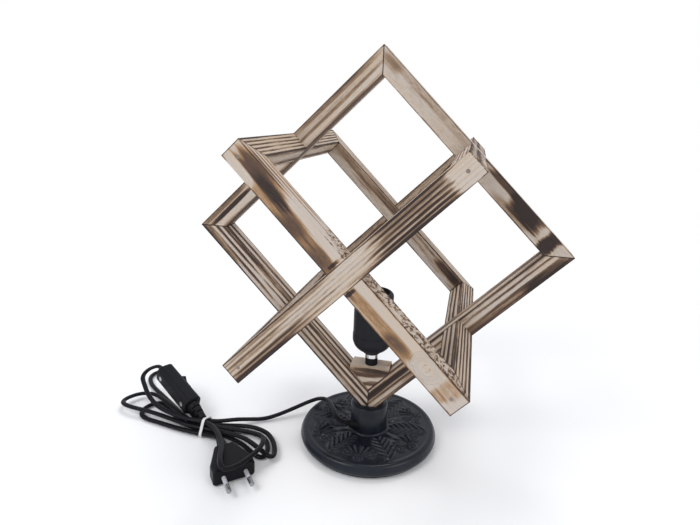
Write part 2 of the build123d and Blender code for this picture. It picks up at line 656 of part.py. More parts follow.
def make_switch():
    plane = switch_plane()
    x0, x1 = RELIEF_LENGTH, RELIEF_LENGTH + SWITCH_LENGTH
    middle = (x0 + x1) / 2
    end_plane = Plane(origin=(x0, 0, 0), x_dir=(0, 1, 0), z_dir=(1, 0, 0))
    outer = extrude(end_plane * RectangleRounded(SWITCH_W, SWITCH_H, SWITCH_ROUND), amount=SWITCH_LENGTH)
    outer = chamfer(outer.faces().sort_by(Axis.X)[-1].edges(), SWITCH_END_BEVEL)
    outer = chamfer(outer.faces().sort_by(Axis.X)[0].edges(), SWITCH_END_BEVEL)
    room_w, room_h = SWITCH_W - 2 * SWITCH_WALL, SWITCH_H - 2 * SWITCH_WALL
    room = Pos(middle, 0, 0) * Box(SWITCH_LENGTH - 2 * SWITCH_WALL, room_w, room_h)
    room = fillet(room.edges().filter_by(Axis.X), SWITCH_ROUND - SWITCH_WALL)
    pivot = Pos(middle, 0, SWITCH_H / 2 - ROCKER_PIVOT_DROP)

    relief_hole = Pos(x0, 0, 0) * Rot(0, 90, 0) * Cylinder(RELIEF_NECK_R + FLEX_PLAY, 3 * SWITCH_WALL)
    flex_hole = Pos(x1, 0, 0) * Rot(0, 90, 0) * Cylinder(FLEX_D / 2 + FLEX_PLAY, 3 * SWITCH_WALL)
    window = Pos(middle, 0, SWITCH_H / 2) * Box(2 * (ROCKER_R + ROCKER_PLAY), ROCKER_W + 2 * ROCKER_PLAY,
                                                3 * SWITCH_WALL)
    hollow = outer - room - relief_hole - flex_hole
    half_box = Box(2 * SWITCH_LENGTH, 2 * SWITCH_W, SWITCH_H, align=(Align.CENTER, Align.CENTER, Align.MIN))
    above = Pos(middle, 0, 0) * half_box
    upper = (hollow & above) - window
    lower = hollow - above

    cheek_y = ROCKER_W / 2 + ROCKER_PLAY + CHEEK_T / 2
    cheek_top = ROCKER_PIVOT_DROP - SWITCH_WALL / 2
    cheek_h = cheek_top + TRUNNION_R + CHEEK_T
    for side in (-1, 1):
        cheek = Box(4 * TRUNNION_R, CHEEK_T + 0.4, cheek_h)
        upper = upper + pivot * Pos(0, side * cheek_y, cheek_top - cheek_h / 2) * cheek
    upper = upper - pivot * Rot(90, 0, 0) * Cylinder(TRUNNION_R + TRUNNION_PLAY, TRUNNION_SPAN + 0.2)

    screws = []
    for x in (x0 + JOIN_SCREW_INSET, x1 - JOIN_SCREW_INSET):
        boss = Pos(x, 0, 0.2) * Cylinder(JOIN_BOSS_R, room_h / 2 - 0.2 + SWITCH_WALL / 2,
                                         align=(Align.CENTER, Align.CENTER, Align.MIN))
        pillar = Pos(x, 0, 0) * Cylinder(JOIN_BOSS_R, room_h / 2 + SWITCH_WALL / 2,
                                         align=(Align.CENTER, Align.CENTER, Align.MAX))
        seat = Pos(x, 0, -SWITCH_H / 2)
        shank = seat * Cylinder(JOIN_SCREW_R, JOIN_SCREW_LENGTH,
                                align=(Align.CENTER, Align.CENTER, Align.MIN))
        head = seat * Cylinder(JOIN_SCREW_HEAD_R, JOIN_HEAD_T,
                               align=(Align.CENTER, Align.CENTER, Align.MIN))
        clear = seat * Cylinder(JOIN_SCREW_R + CLOSE_PLAY, JOIN_SCREW_LENGTH + CLOSE_PLAY,
                                align=(Align.CENTER, Align.CENTER, Align.MIN))
        sunk = seat * Cylinder(JOIN_SCREW_HEAD_R + CLOSE_PLAY, JOIN_HEAD_T,
                               align=(Align.CENTER, Align.CENTER, Align.MIN))
        upper = upper + boss - clear
        lower = lower + pillar - clear - sunk
        screws.append(plane * (shank + head))
    save("switch_upper_shell", plane * upper)
    save("switch_lower_shell", plane * lower)
    save("switch_screws", group(screws))

    relief = cone_along(Plane.XY, 0, RELIEF_TIP_R, x0, RELIEF_ROOT_R,
                        FLEX_D / 2 + FLEX_PLAY, RELIEF_BORE)
    relief = relief + Pos(x0, 0, 0) * Rot(0, 90, 0) * Cylinder(
        RELIEF_NECK_R, SWITCH_WALL, align=(Align.CENTER, Align.CENTER, Align.MIN))
    for n, x in enumerate(RELIEF_SLOTS):
        slot = Box(RELIEF_SLOT_W, 4 * RELIEF_ROOT_R, 4 * RELIEF_ROOT_R,
                   align=(Align.CENTER, Align.CENTER, Align.MIN))
        for side in (0, 180):
            reach = Pos(x, 0, 0) * Rot(90 * (n % 2) + side, 0, 0) * Pos(0, 0, FLEX_D / 2 + RELIEF_RIB)
            relief = relief - reach * slot
    save("switch_relief", plane * relief)

    z_low = -ROCKER_SKIRT
    x_low = sqrt(ROCKER_R ** 2 - z_low ** 2)
    slope = tan(radians(ROCKER_TILT))
    b = ROCKER_CENTRE_H * slope
    k = 1 + slope ** 2
    x_top = (-b + sqrt(b * b + k * (ROCKER_R ** 2 - ROCKER_CENTRE_H ** 2))) / k
    z_top = ROCKER_CENTRE_H + slope * x_top
    with BuildSketch(Plane.XZ) as side_view:
        with BuildLine():
            Line((-x_low, z_low), (x_low, z_low))
            ThreePointArc((x_low, z_low), (ROCKER_R * cos(0.2), ROCKER_R * sin(0.2)), (x_top, z_top))
            Polyline((x_top, z_top), (0, ROCKER_CENTRE_H), (-x_top, z_top))
            ThreePointArc((-x_top, z_top), (-ROCKER_R * cos(0.2), ROCKER_R * sin(0.2)), (-x_low, z_low))
        make_face()
    rocker = extrude(side_view.sketch, amount=ROCKER_W / 2, both=True)
    rocker = rocker + Rot(90, 0, 0) * Cylinder(TRUNNION_R, TRUNNION_SPAN)
    off = plane * pivot * Rot(0, -ROCKER_TILT, 0)
    save("switch_rocker", off * rocker)
    plunger = Pos(0, 0, -PLUNGER_REACH) * Cylinder(PLUNGER_R, PLUNGER_REACH - ROCKER_SKIRT,
                                                   align=(Align.CENTER, Align.CENTER, Align.MIN))
    save("rocker_plunger", off * plunger)

    bridge_pivot = pivot * Pos(0, 0, -BRIDGE_DROP - BRIDGE_T)
    strip = Pos(0, 0, BRIDGE_T / 2) * Box(2 * BRIDGE_HALF, BRIDGE_W, BRIDGE_T)
    save("contact_bridge", plane * bridge_pivot * Rot(0, ROCKER_TILT, 0) * strip)

    floor_z = -SWITCH_H / 2 + SWITCH_WALL
    pivot_z = SWITCH_H / 2 - ROCKER_PIVOT_DROP - BRIDGE_DROP - BRIDGE_T
    foot_z, top_z = floor_z + TERMINAL_FOOT_H, pivot_z - CONTACT_GAP
    ridge = outline([(-POST_L, floor_z), (POST_L, floor_z), (POST_L, foot_z), (RIDGE_TIP_HALF, top_z),
                     (-RIDGE_TIP_HALF, top_z), (-POST_L, foot_z)])
    common = extrude(Plane(origin=(middle, 0, 0), x_dir=(1, 0, 0), z_dir=(0, -1, 0)) * ridge,
                     amount=BRIDGE_W / 2, both=True)
    save("common_terminal", plane * common)
    reach = BRIDGE_HALF - POST_L / 2
    dip = reach * sin(radians(ROCKER_TILT)) + BRIDGE_T * cos(radians(ROCKER_TILT))
    post_h = pivot_z + BRIDGE_T - dip - slope * POST_L / 2 - CONTACT_GAP - floor_z
    post = Pos(middle + reach, 0, floor_z) * Box(
        POST_L, BRIDGE_W, post_h, align=(Align.CENTER, Align.CENTER, Align.MIN))
    save("load_terminal", plane * post)
    for name, z in (("rocker pivot", SWITCH_H / 2 - ROCKER_PIVOT_DROP), ("bridge pivot", pivot_z)):
        spot = plane.from_local_coords(Vector(middle, 0, z))
        print(name, [round(v, 3) for v in (spot.X, spot.Y, spot.Z)],
              "axis", [round(v, 5) for v in (plane.y_dir.X, plane.y_dir.Y, plane.y_dir.Z)])


# Plug

def make_plug():
    plane = plug_plane()
    w, t = PLUG_W / 2, PLUG_TAIL_W / 2
    with BuildSketch() as plan:
        with BuildLine():
            Polyline((0, w), (-PLUG_SIDE, w), (-PLUG_LENGTH, t), (-PLUG_LENGTH, -t), (-PLUG_SIDE, -w),
                     (0, -w), (0, w))
        make_face()
        fillet(plan.vertices(), PLUG_CORNER)
    body = extrude(plan.sketch, amount=PLUG_T / 2, both=True)
    body = fillet(body.faces().filter_by(Axis.Z).edges(), PLUG_ROUND)
    pins = []
    sleeves = []
    for side in (-1, 1):
        place = Pos(0, side * PIN_SPACING / 2, 0) * Rot(0, 90, 0)
        solid = turned([(0, -PIN_IN), (PIN_NECK_R, -PIN_IN), (PIN_NECK_R, PIN_SLEEVE_LENGTH),
                        (PIN_R, PIN_SLEEVE_LENGTH), (PIN_R, PIN_LENGTH - PIN_TIP_H),
                        (PIN_R - PIN_TIP_IN, PIN_LENGTH), (0, PIN_LENGTH)])
        pins.append(plane * place * solid)
        sleeves.append(plane * place * ring(PIN_SLEEVE_R, PIN_NECK_R + CLOSE_PLAY, 0, PIN_SLEEVE_LENGTH))
        body = body - place * Pos(0, 0, -PIN_IN) * Cylinder(PIN_NECK_R + CLOSE_PLAY, 2 * PIN_IN,
                                                           align=(Align.CENTER, Align.CENTER, Align.MIN))
    tail_x = -PLUG_LENGTH - PLUG_TAIL_LENGTH
    tail = cone_along(Plane.XY, tail_x, PLUG_TAIL_TIP_R, -PLUG_LENGTH, PLUG_TAIL_ROOT_R,
                      FLEX_D / 2 + FLEX_PLAY, tail_x + PLUG_TAIL_BORE)
    neck = Pos(-PLUG_LENGTH, 0, 0) * Rot(0, 90, 0) * Cylinder(
        PLUG_NECK_R, PLUG_TAIL_IN, align=(Align.CENTER, Align.CENTER, Align.MIN))
    socket = Pos(-PLUG_LENGTH, 0, 0) * Rot(0, 90, 0) * Cylinder(
        PLUG_NECK_R + CLOSE_PLAY, PLUG_TAIL_IN, align=(Align.CENTER, Align.CENTER, Align.MIN))
    save("plug_body", plane * (body - socket))
    save("plug_relief", plane * (tail + neck))
    save("plug_pins", group(pins))
    save("pin_sleeves", group(sleeves))


def make_inner_flex():
    """Flex inside the base, from the bush's mouth to the foot of the stem and up it."""
    points = [bush_point(BUSH_ABOVE), bush_point(-BUSH_BELOW - FLEX_LEAD)] + INNER_ROUTE
    points.append((0, 0, STEM_TOP_Z + 1.0))
    tube, path, radii = route_tube(points)
    report_tube("inner_flex", tube, path, radii)
    save("inner_flex", tube)


if __name__ == "__main__":
    os.makedirs("parts", exist_ok=True)
    make_cage()
    make_corner_block()
    make_base()
    make_bush()
    make_stem()
    make_holder()
    make_inner_flex()
    make_flex()
    make_tie()
    make_switch()
    make_plug()
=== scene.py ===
import bpy
import bmesh
from math import atan2, cos, exp, pi, radians, sin, sqrt
from mathutils import Matrix, Vector


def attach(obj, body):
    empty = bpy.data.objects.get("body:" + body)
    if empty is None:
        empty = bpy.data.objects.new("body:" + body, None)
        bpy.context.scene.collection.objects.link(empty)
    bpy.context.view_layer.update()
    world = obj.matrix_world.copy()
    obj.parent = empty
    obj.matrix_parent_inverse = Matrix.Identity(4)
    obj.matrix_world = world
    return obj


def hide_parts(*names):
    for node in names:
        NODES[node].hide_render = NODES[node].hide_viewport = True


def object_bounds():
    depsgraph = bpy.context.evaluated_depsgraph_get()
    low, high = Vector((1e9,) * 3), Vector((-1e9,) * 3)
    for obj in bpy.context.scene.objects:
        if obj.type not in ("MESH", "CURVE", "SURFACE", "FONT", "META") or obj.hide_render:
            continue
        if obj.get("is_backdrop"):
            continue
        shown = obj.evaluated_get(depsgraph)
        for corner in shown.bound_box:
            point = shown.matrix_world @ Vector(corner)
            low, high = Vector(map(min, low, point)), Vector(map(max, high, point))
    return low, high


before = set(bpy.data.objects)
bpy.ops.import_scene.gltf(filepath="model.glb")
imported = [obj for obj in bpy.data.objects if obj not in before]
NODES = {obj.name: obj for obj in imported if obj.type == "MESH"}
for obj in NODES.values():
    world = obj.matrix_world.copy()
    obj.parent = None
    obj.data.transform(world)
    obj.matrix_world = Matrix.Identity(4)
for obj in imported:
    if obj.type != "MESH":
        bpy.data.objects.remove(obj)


def save_bounds(key, sizes={}):
    low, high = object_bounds()
    sizes[key] = [[round(v, 5) for v in low], [round(v, 5) for v in high]]


save_bounds("cad")


# Camera, solved from the square frames in the photograph

PHOTO_W, PHOTO_H = 700.0, 525.0
FOCAL_PX = 518.824
CENTRE_PX = (369.444, 199.751)
SENSOR_MM = 36.0
EYE = (0.08230, -0.45329, 0.31026)


def make_camera():
    data = bpy.data.cameras.new("camera")
    data.sensor_width = SENSOR_MM
    data.lens = FOCAL_PX * SENSOR_MM / PHOTO_W
    data.shift_x = (PHOTO_W / 2 - CENTRE_PX[0]) / PHOTO_W
    data.shift_y = (CENTRE_PX[1] - PHOTO_H / 2) / PHOTO_W
    data.clip_start = 0.01
    data.clip_end = 20.0
    cam = bpy.data.objects.new("camera", data)
    right = Vector((0.97815, 0.20349, 0.04254))
    up = Vector((-0.07504, 0.15477, 0.98510))
    ahead = Vector((-0.19387, 0.96677, -0.16666))
    turn = Matrix((right, up, -ahead)).transposed()
    cam.matrix_world = Matrix.Translation(EYE) @ turn.to_4x4()
    bpy.context.scene.collection.objects.link(cam)
    bpy.context.scene.camera = cam


make_camera()


# Shader arithmetic

class Sock:
    """An output socket that takes part in arithmetic."""

    def __init__(self, net, out):
        self.net = net
        self.out = out

    def math(self, op, *others, clamp=False):
        return self.net.node("ShaderNodeMath", 0, [self, *others], operation=op, use_clamp=clamp)

    def __add__(self, o):
        return self.math("ADD", o)

    __radd__ = __add__

    def __mul__(self, o):
        return self.math("MULTIPLY", o)

    __rmul__ = __mul__

    def __sub__(self, o):
        return self.math("SUBTRACT", o)

    def __rsub__(self, o):
        return (self * -1.0) + o

    def __truediv__(self, o):
        return self.math("DIVIDE", o)

    def abs(self):
        return self.math("ABSOLUTE")

    def pow(self, p):
        return self.math("POWER", p)

    def least(self, o):
        return self.math("MINIMUM", o)

    def fraction(self):
        return self.math("FRACT")

    def clamped(self):
        return self.math("ADD", 0.0, clamp=True)

    def step(self, low, high, a=0.0, b=1.0):
        """Smooth ramp from a to b as this goes from low to high."""
        ends = {"From Min": low, "From Max": high, "To Min": a, "To Max": b}
        return self.net.node("ShaderNodeMapRange", 0, {"Value": self, **ends},
                             interpolation_type="SMOOTHSTEP")

    def dot(self, v):
        return self.net.node("ShaderNodeVectorMath", 1, [self, v], operation="DOT_PRODUCT")

    def shift(self, v):
        return self.net.node("ShaderNodeVectorMath", 0, [self, v], operation="ADD")

    def scaled(self, v):
        return self.net.node("ShaderNodeVectorMath", 0, [self, v], operation="MULTIPLY")


class Net:
    """The nodes of one material or of the world, all made by one method."""

    def __init__(self, owner):
        owner.use_nodes = True
        self.owner = owner
        self.tree = owner.node_tree
        self.tree.nodes.clear()

    def node(self, kind, out, inputs=(), **props):
        """A node of this kind with its settings, then its inputs; gives one output, or none for None."""
        n = self.tree.nodes.new(kind)
        for key, value in props.items():
            setattr(n, key, value)
        pairs = inputs.items() if isinstance(inputs, dict) else enumerate(inputs)
        for key, value in pairs:
            if isinstance(value, Sock):
                self.tree.links.new(value.out, n.inputs[key])
            else:
                n.inputs[key].default_value = value
        return None if out is None else Sock(self, n.outputs[out])

    def coords(self):
        return self.node("ShaderNodeTexCoord", "Object")

    def millimetres(self, centre):
        """Object coordinates in mm from a point."""
        return self.coords().scaled((1000.0, 1000.0, 1000.0)).shift(tuple(-c for c in centre))

    def join(self, x, y, z):
        return self.node("ShaderNodeCombineXYZ", 0, [x, y, z])

    def noise(self, vec, scale, detail, rough=0.5):
        return self.node("ShaderNodeTexNoise", 0,
                         {"Vector": vec, "Scale": scale, "Detail": detail, "Roughness": rough})

    def mix(self, factor, a, b):
        """Colour a where factor is 0 and b where it is 1."""
        a, b = (c if isinstance(c, Sock) else (*c, 1.0) for c in (a, b))
        # Inputs 6 and 7 and output 2 are the colour ones, as other types share their names
        return self.node("ShaderNodeMix", 2, {0: factor, 6: a, 7: b}, data_type="RGBA")

    def bump(self, height, strength, distance):
        return self.node("ShaderNodeBump", 0,
                         {"Height": height, "Strength": strength, "Distance": distance})

    def surface(self, shader):
        self.node("ShaderNodeOutputMaterial", None, [shader])
        return self.owner

    def finish(self, **inputs):
        """Principled shader with these sockets, by their names with _ for a space."""
        named = {key.replace("_", " "): value for key, value in inputs.items()}
        return self.surface(self.node("ShaderNodeBsdfPrincipled", 0, named))


def material(name):
    return Net(bpy.data.materials.new(name))


def paint(obj, mat):
    for slot in obj.material_slots:
        slot.material = mat
    if not obj.material_slots:
        obj.data.materials.append(mat)


def scene_object(name, data):
    obj = bpy.data.objects.new(name, data)
    bpy.context.scene.collection.objects.link(obj)
    return obj


# Simple materials

def plain(name, colour, rough, metallic=0.0, grain=900.0, bump=0.15, depth=0.00004, vary=0.15,
          shine=0.5):
    """One colour with fine grain: small changes of shade, roughness and height."""
    n = material(name)
    at = n.coords()
    fine = n.noise(at, grain, 3.0, 0.6)
    broad = n.noise(at, grain / 30.0, 3.0, 0.55)
    shade = (broad - 0.5) * vary * 2.0 + (fine - 0.5) * vary
    dark = tuple(c * (1.0 - 0.9 * vary) for c in colour)
    light = tuple(min(1.0, c * (1.0 + 1.2 * vary) + 0.004) for c in colour)
    tone = n.mix((shade + 0.5).step(0.2, 0.8), dark, light)
    roughness = ((fine - 0.5) * 0.12 + (broad - 0.5) * 0.16 + rough).clamped()
    return n.finish(Base_Color=tone, Roughness=roughness, Metallic=metallic,
                    Specular_IOR_Level=shine, Normal=n.bump(fine, bump, depth))


MATS = {
    "black_plastic": plain("black_plastic", (0.0065, 0.0068, 0.0085), 0.4, bump=0.12, shine=0.09),
    "holder_plastic": plain("holder_plastic", (0.0065, 0.0072, 0.0105), 0.5, grain=1400.0, bump=0.2,
                            shine=0.2),
    "black_rubber": plain("black_rubber", (0.0065, 0.0066, 0.008), 0.5, shine=0.09),
    "flex": plain("flex_sheath", (0.0055, 0.0055, 0.0075), 0.33, grain=500.0, bump=0.08, shine=0.1),
    "steel": plain("bright_steel", (0.56, 0.56, 0.57), 0.3, metallic=1.0, grain=2500.0),
    "nail": plain("nail_steel", (0.24, 0.21, 0.18), 0.5, metallic=0.8, grain=2500.0),
    "chrome": plain("chrome", (0.75, 0.75, 0.76), 0.14, metallic=1.0, bump=0.03, vary=0.05),
    "pin": plain("plug_pin", (0.34, 0.34, 0.35), 0.22, metallic=1.0, bump=0.05, vary=0.08),
    "brass": plain("brass", (0.72, 0.52, 0.24), 0.28, metallic=1.0, vary=0.1),
    "ceramic": plain("ceramic", (0.78, 0.76, 0.7), 0.35, vary=0.05),
    "wire": plain("wire", (0.2, 0.09, 0.04), 0.4),
    "tie": plain("tie", (0.62, 0.62, 0.61), 0.5, vary=0.12),
    "sleeve": plain("pin_sleeve", (0.46, 0.47, 0.50), 0.45, vary=0.08),
    "felt": plain("felt", (0.02, 0.02, 0.02), 0.95, grain=2500.0, bump=0.8, depth=0.0003),
}

FINISH = {
    "nail": ["frame_nails"],
    "steel": ["base_washer", "base_nut", "stem_tube", "holder_grub_screw", "switch_screws"],
    "chrome": ["lock_ring"],
    "pin": ["plug_pins"],
    "black_plastic": ["spacer_sleeve", "switch_upper_shell", "switch_lower_shell", "switch_rocker",
                      "plug_body"],
    "holder_plastic": ["holder_cap", "holder_skirt"],
    "ceramic": ["holder_insert", "rocker_plunger"],
    "brass": ["screw_shell", "centre_contact", "terminal_screws", "contact_bridge", "common_terminal",
              "load_terminal"],
    "wire": ["lamp_wires"],
    "flex": ["inner_flex", "cord_to_switch", "cord_hank"],
    "black_rubber": ["cord_bush", "switch_relief", "plug_relief"],
    "tie": ["cord_tie"],
    "sleeve": ["pin_sleeves"],
    "felt": ["base_pad"],
}
for key, names in FINISH.items():
    for name in names:
        paint(NODES[name], MATS[key])


# Flex

FLEX_W, FLEX_T = 4.6, 3.4
FLEX_GROOVE = 0.13
WAIST_RIGHT_X, WAIST_LEFT_X = -144.0, -168.0
ROW_Z = (3.4, 7.8, 12.2)
STRANDS = {
    # y and z of each strand at the waist
    "to_switch": (-31.0, 8.9), "from_switch": (-39.2, ROW_Z[2]),
    "left_long_a": (-37.0, ROW_Z[1]), "left_long_b": (-42.0, ROW_Z[1]),
    "under_switch_a": (-29.0, ROW_Z[0]), "under_switch_b": (-34.0, ROW_Z[0]),
    "low_a": (-39.0, ROW_Z[0]), "low_b": (-44.6, ROW_Z[0]),
}
LOOPS = (
    # side, first and last strand, reach, half width, bearing, bow, heights on the way round
    ("right", "from_switch", "left_long_a", 69.9, -29.6, -20.7, -28.9, (20.4, 17.4, 13.3)),
    ("left", "left_long_a", "left_long_b", 88.0, -16.4, 156.3, 9.1, (6.9, 6.5, 8.3)),
    ("right", "left_long_b", "under_switch_a", 63.9, -13.9, 12.4, -36.4, (8.9, 5.0, 4.4)),
    ("left", "under_switch_a", "under_switch_b", 121.5, -14.3, 139.7, -1.8, (2.3, 2.4, 2.3)),
    ("right", "under_switch_b", "low_a", 59.7, 13.4, 5.3, -23.5, (2.3, 2.3, 2.3)),
    ("left", "low_a", "low_b", 65.1, -13.6, 160.6, -4.5, (2.3, 2.6, 2.3)),
)
LOOP_STEPS = (0.12, 0.25, 0.35, 0.43, 0.5, 0.57, 0.65, 0.75, 0.88)
FREE_ROUTE = [
    (-24.6, -15.6, 21.5), (-29.3, -12.0, 22.1), (-33.2, -5.0, 22.2),
    (-38.0, 4.5, 21.3), (-43.5, 14.0, 19.8), (-50.0, 20.8, 18.6), (-57.5, 20.6, 17.6),
    (-65.0, 16.5, 15.6), (-73.5, 12.0, 12.3), (-84.0, 5.5, 8.5), (-95.0, -1.0, 5.0),
    (-106.0, -7.0, 3.0), (-117.0, -13.5, 5.0), (-127.0, -21.0, 7.8), (-135.5, -27.2, 8.9),
]
SWITCH_RETURN = [
    (-233.3, 11.3, 32.7), (-243.4, 7.8, 29.0), (-244.9, -1.4, 24.9), (-236.7, -9.2, 21.2),
    (-225.1, -19.9, 17.2), (-208.8, -30.1, 14.1), (-190.1, -36.2, 12.9), (-176.8, -37.9, 12.4),
]
COLUMN_R = 17.4
BUSH_BEARING, BUSH_Z = radians(-128.0), 18.3
BUSH_ROOT = Vector((COLUMN_R * cos(BUSH_BEARING), COLUMN_R * sin(BUSH_BEARING), BUSH_Z))
BUSH_DIR = Vector((-0.93, -0.28, 0.24)).normalized()
BUSH_MOUTH, BUSH_LEAD = 5.5, 4.0
YAW, RISE = radians(29.2), radians(15.5)
SWITCH_START = Vector((-157.0, -32.0, 10.0))
SWITCH_X = Vector((-cos(RISE) * cos(YAW), cos(RISE) * sin(YAW), sin(RISE)))
SWITCH_ENTRY, SWITCH_GRIP = -2.0, 12.0
SWITCH_OUT, SWITCH_EXIT = 76.2, 82.0
PLUG_FACE = Vector((-94.8, -92.15, 6.85))
PLUG_YAW = radians(-48.7)
PLUG_X = Vector((cos(PLUG_YAW), sin(PLUG_YAW), 0.0))
PLUG_LEAD, PLUG_GRIP = 56.0, 44.0


def waist_point(strand, side):
    y, z = STRANDS[strand]
    return (WAIST_RIGHT_X if side == "right" else WAIST_LEFT_X, y, z)


def loop_points(loop):
    """Control points of one loop, out from the waist and back to it."""
    side, first, last, reach, half, bearing, bow, heights = loop
    x0, y0, z0 = waist_point(first, side)
    x1, y1, z1 = waist_point(last, side)
    lift = (z0,) + heights + (z1,)
    cb, sb = cos(radians(bearing)), sin(radians(bearing))
    points = []
    for t in LOOP_STEPS:
        s = sin(pi * t)
        along = reach * s ** 0.7
        across = half * sin(2 * pi * t) * s ** 0.35 + bow * s * s
        k = min(int(t * 4), 3)
        z = lift[k] + (lift[k + 1] - lift[k]) * (t * 4 - k)
        points.append((x0 + along * cb - across * sb,
                       y0 + (y1 - y0) * t + along * sb + across * cb, z))
    return points


def free_points():
    start = BUSH_ROOT + BUSH_DIR * BUSH_MOUTH
    points = [start, start + BUSH_DIR * BUSH_LEAD] + FREE_ROUTE + [waist_point("to_switch", "right")]
    return points + [SWITCH_START + SWITCH_X * SWITCH_ENTRY, SWITCH_START + SWITCH_X * SWITCH_GRIP]


def hank_points():
    points = [SWITCH_START + SWITCH_X * SWITCH_OUT, SWITCH_START + SWITCH_X * SWITCH_EXIT]
    points += SWITCH_RETURN
    for loop in LOOPS:
        side, first = loop[:2]
        points.append(waist_point(first, "left" if side == "right" else "right"))
        points.append(waist_point(first, side))
        points.extend(loop_points(loop))
    points += [waist_point("low_b", "left"), waist_point("low_b", "right")]
    return points + [PLUG_FACE - PLUG_X * PLUG_LEAD, PLUG_FACE - PLUG_X * PLUG_GRIP]


def metres(v):
    return tuple(c / 1000 for c in v)


def flat_section(count=20):
    """Outline of the twin flex: two round cores under one skin."""
    data = bpy.data.curves.new("flex_section", "CURVE")
    data.dimensions = "2D"
    spline = data.splines.new("POLY")
    spline.points.add(count - 1)
    for i, point in enumerate(spline.points):
        a = 2 * pi * i / count
        waist = 1.0 - FLEX_GROOVE * exp(-(cos(a) / 0.3) ** 2)
        point.co = (*metres((FLEX_W / 2 * cos(a), FLEX_T / 2 * sin(a) * waist, 0.0)), 1.0)
    spline.use_cyclic_u = True
    return bpy.data.objects.new("flex_section", data)


SECTION = flat_section()


def flex_curve(name, points):
    data = bpy.data.curves.new(name, "CURVE")
    data.dimensions = "3D"
    spline = data.splines.new("NURBS")
    spline.points.add(len(points) - 1)
    for point, at in zip(spline.points, points):
        point.co = (*metres(at), 1.0)
    spline.order_u = 3
    spline.use_endpoint_u = True
    spline.resolution_u = 8
    data.twist_mode = "Z_UP"
    data.bevel_mode = "OBJECT"
    data.bevel_object = SECTION
    data.use_fill_caps = True
    obj = scene_object(name, data)
    paint(obj, MATS["flex"])
    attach(obj, "lamp")
    return obj


free = flex_curve("flex_to_switch", free_points())
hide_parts("cord_to_switch")
metres(free_points()[0])
hank = flex_curve("flex_hank", hank_points())
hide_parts("cord_hank")
metres(hank_points()[0])


# Scorched wood

PALE = (0.50, 0.395, 0.295)
GREY = (0.50, 0.445, 0.40)
TAN = (0.29, 0.195, 0.125)
HONEY = (0.33, 0.190, 0.090)
BROWN = (0.098, 0.058, 0.039)
SOOT = (0.030, 0.020, 0.017)
# The frames stand on a corner: U falls to the right, V rises to it and D runs away from the viewer
U = Vector((1, 0, -1)).normalized()
V = Vector((1, 0, 1)).normalized()
D = Vector((0, 1, 0))
MID, FRAME_Z = 111.0, 197.506
BLOCK_Z = 62.0
BATTEN_EDGE, BLOCK_EDGE = 0.0005, 0.0004
# Distances in mm from a batten's axis, whose faces are 9 mm from it
ARRIS_FROM, ARRIS_TO = 7.6, 9.0
FACE_FROM, FACE_TO = 8.55, 8.9
KNOT_RING = 2.9


def streaks(n, place, shift, length, width, detail, rough=0.5):
    """Noise drawn out along the grain; length and width are its turns per mm along and across."""
    a, w, t = place
    return n.noise(n.join(a * length + shift, w * width, t * width), 1.0, detail, rough)


def growth_rings(n, place, seed, sway, band, pith, ring, wobble, knot):
    """Late wood of the rings round the pith, and of the knot that they are drawn in to, if any."""
    a, w, t = place
    rw = w - pith[0] + sway * wobble * 4.0
    rt = t - pith[1] + (band - 0.5) * 1.5
    r = (rw * rw + rt * rt).pow(0.5) + sway * wobble * 3.0
    knotted = None
    if knot:
        knot_a, knot_w, knot_t, size = knot
        da, dw, dt = (a - knot_a) * 0.8, w - knot_w, t - knot_t
        far = (da * da + dw * dw + dt * dt).pow(0.5)
        near = far.step(size * 0.7, size * 2.4, 1.0, 0.0)
        r = r * (1.0 - near) + (far * 1.3) * near
        knotted = near * (far / KNOT_RING).fraction().step(0.5, 0.85)
    phase = (r / ring).fraction()
    fade = n.noise(n.join(a * 0.018 + seed * 5.1, r * 0.21, 0.0), 1.0, 2.0).step(0.30, 0.56, 0.35, 1.0)
    return phase.step(0.30, 0.66) * phase.step(0.84, 1.0, 1.0, 0.0) * fade, knotted


def scorched_spot(place, ragged, spot):
    """One spot (a, w, t, half length, half width, half thickness, darkness), squarish with ragged ends."""
    x, y, z = (((at - middle) / half).pow(4.0) for at, middle, half in zip(place, spot[:3], spot[3:6]))
    return ((x + y + z).pow(0.25) + ragged).step(0.6, 1.25, 1.0, 0.0) * spot[6]


def torn_face(n, place, seed, axis, side, start, end):
    """The face on this side of the axis w or t, from start to end along it, and the torn pits on it."""
    a, w, t = place
    outward, cross = (w, t) if axis == "w" else (t, w)
    face = (outward * side).step(FACE_FROM, FACE_TO)
    face = face * a.step(start - 6.0, start + 6.0) * a.step(end, end + 8.0, 1.0, 0.0)
    torn = n.noise(n.join(a * 0.30 + cross * 0.08 + seed, cross * 0.20, 0.0), 1.0, 2.5, 0.7)
    patches = n.noise(n.join(a * 0.03, cross * 0.1, seed), 1.0, 1.0)
    return face, torn.step(0.46, 0.60) * face * patches.step(0.26, 0.44)


